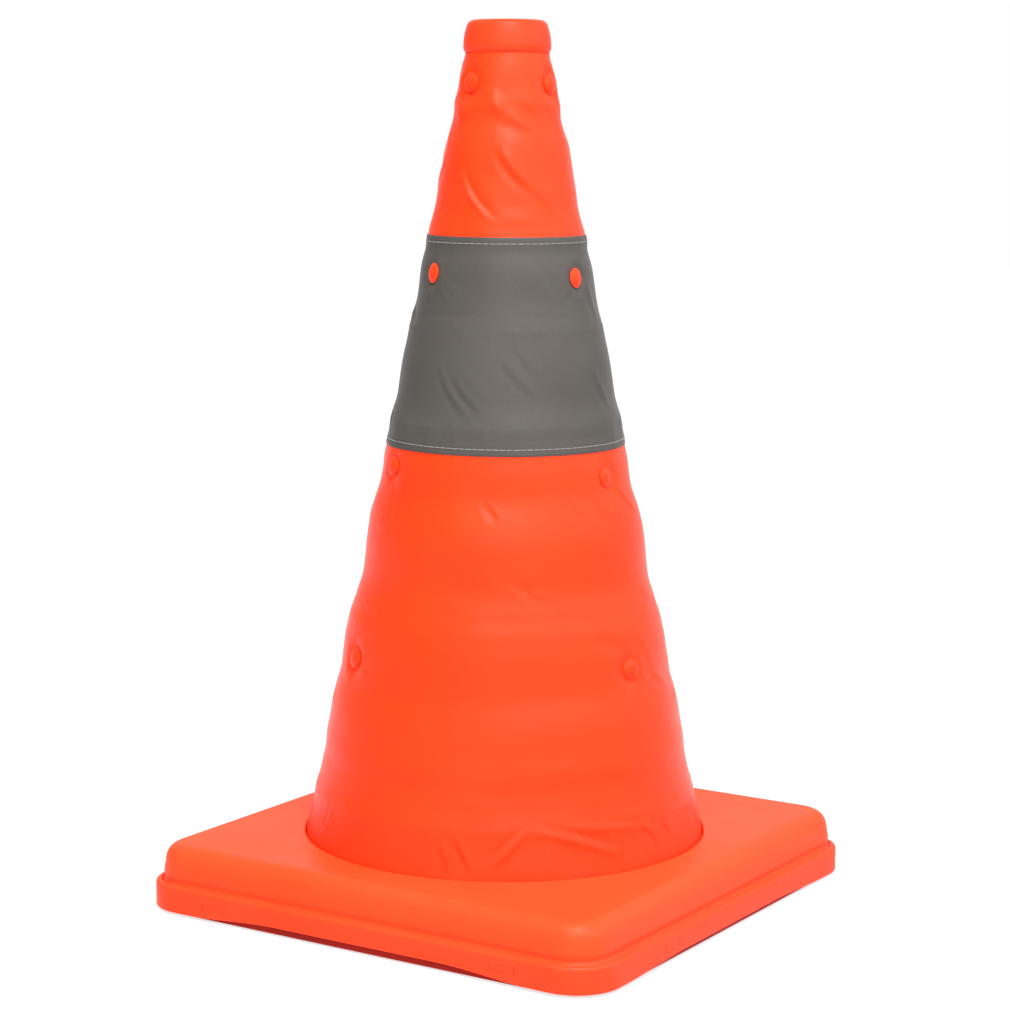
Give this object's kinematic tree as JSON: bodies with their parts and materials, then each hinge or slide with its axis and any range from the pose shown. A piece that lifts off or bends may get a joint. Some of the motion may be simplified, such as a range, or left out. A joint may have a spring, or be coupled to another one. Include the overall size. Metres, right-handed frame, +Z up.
{
  "type": "collapsible traffic cone",
  "caption": "Pull-up traffic cone: a square two-part base, nested rings that telescope inside a riveted fabric sleeve with a grey band, and a plastic cap.",
  "frame": {"origin": "on the ground, at the centre of the square base, under the cone's axis", "axes": "+Z up along the cone's axis, +X and +Y along the sides of the base"},
  "size_m": [0.272, 0.272, 0.45],
  "materials": {
    "shell_plastic": "satin fluorescent orange",
    "tray_plastic": "satin fluorescent orange",
    "ring_plastic": "satin orange",
    "cap_plastic": "satin fluorescent orange",
    "rivet_plastic": "glossy orange",
    "sleeve_fabric": "coated plain-weave fluorescent orange",
    "band_fabric": "grey reflective-coated cloth",
    "foot_rubber": "matt black",
    "screw_steel": "zinc plated"
  },
  "bodies": {
    "base": {"base_tray": "tray_plastic", "base_shell": "shell_plastic", "collar_ring": "ring_plastic", "sleeve": "sleeve_fabric", "foot_front_left": "foot_rubber", "foot_front_right": "foot_rubber", "foot_rear_right": "foot_rubber", "foot_rear_left": "foot_rubber", "tray_screw_front_left": "screw_steel", "tray_screw_front_right": "screw_steel", "tray_screw_rear_right": "screw_steel", "tray_screw_rear_left": "screw_steel", "clamp_screw_1": "screw_steel", "clamp_screw_2": "screw_steel", "clamp_screw_3": "screw_steel", "clamp_screw_4": "screw_steel"},
    "stage_8": {"ring_8": "ring_plastic"},
    "stage_7": {"ring_7": "ring_plastic", "rivet_7a": "rivet_plastic", "rivet_7b": "rivet_plastic", "rivet_7c": "rivet_plastic", "rivet_cap_7a": "rivet_plastic", "rivet_cap_7b": "rivet_plastic", "rivet_cap_7c": "rivet_plastic"},
    "stage_6": {"ring_6": "ring_plastic"},
    "stage_5": {"ring_5": "ring_plastic", "rivet_5a": "rivet_plastic", "rivet_5b": "rivet_plastic", "rivet_5c": "rivet_plastic", "rivet_cap_5a": "rivet_plastic", "rivet_cap_5b": "rivet_plastic", "rivet_cap_5c": "rivet_plastic"},
    "stage_4": {"ring_4": "ring_plastic"},
    "stage_3": {"ring_3": "ring_plastic", "grey_band": "band_fabric", "rivet_3a": "rivet_plastic", "rivet_3b": "rivet_plastic", "rivet_3c": "rivet_plastic", "rivet_cap_3a": "rivet_plastic", "rivet_cap_3b": "rivet_plastic", "rivet_cap_3c": "rivet_plastic"},
    "stage_2": {"ring_2": "ring_plastic"},
    "stage_1": {"ring_1": "ring_plastic", "top_cap": "cap_plastic", "cap_screw": "screw_steel", "rivet_1a": "rivet_plastic", "rivet_1b": "rivet_plastic", "rivet_1c": "rivet_plastic", "rivet_cap_1a": "rivet_plastic", "rivet_cap_1b": "rivet_plastic", "rivet_cap_1c": "rivet_plastic"}
  },
  "joints": [
    {"name": "ring_8_slide", "type": "slide", "parent": "base", "child": "stage_8", "axis": [0, 0, 1], "range_m": [-0.0472, 0], "deforming": ["sleeve"]},
    {"name": "ring_7_slide", "type": "slide", "parent": "stage_8", "child": "stage_7", "axis": [0, 0, 1], "range_m": [-0.0472, 0], "deforming": ["sleeve"]},
    {"name": "ring_6_slide", "type": "slide", "parent": "stage_7", "child": "stage_6", "axis": [0, 0, 1], "range_m": [-0.0472, 0], "deforming": ["sleeve"]},
    {"name": "ring_5_slide", "type": "slide", "parent": "stage_6", "child": "stage_5", "axis": [0, 0, 1], "range_m": [-0.0472, 0], "deforming": ["sleeve"]},
    {"name": "ring_4_slide", "type": "slide", "parent": "stage_5", "child": "stage_4", "axis": [0, 0, 1], "range_m": [-0.0472, 0], "deforming": ["sleeve", "grey_band"]},
    {"name": "ring_3_slide", "type": "slide", "parent": "stage_4", "child": "stage_3", "axis": [0, 0, 1], "range_m": [-0.0472, 0], "deforming": ["sleeve", "grey_band"]},
    {"name": "ring_2_slide", "type": "slide", "parent": "stage_3", "child": "stage_2", "axis": [0, 0, 1], "range_m": [-0.0472, 0], "deforming": ["sleeve"]},
    {"name": "ring_1_slide", "type": "slide", "parent": "stage_2", "child": "stage_1", "axis": [0, 0, 1], "range_m": [-0.0472, 0], "deforming": ["sleeve"]}
  ]
}
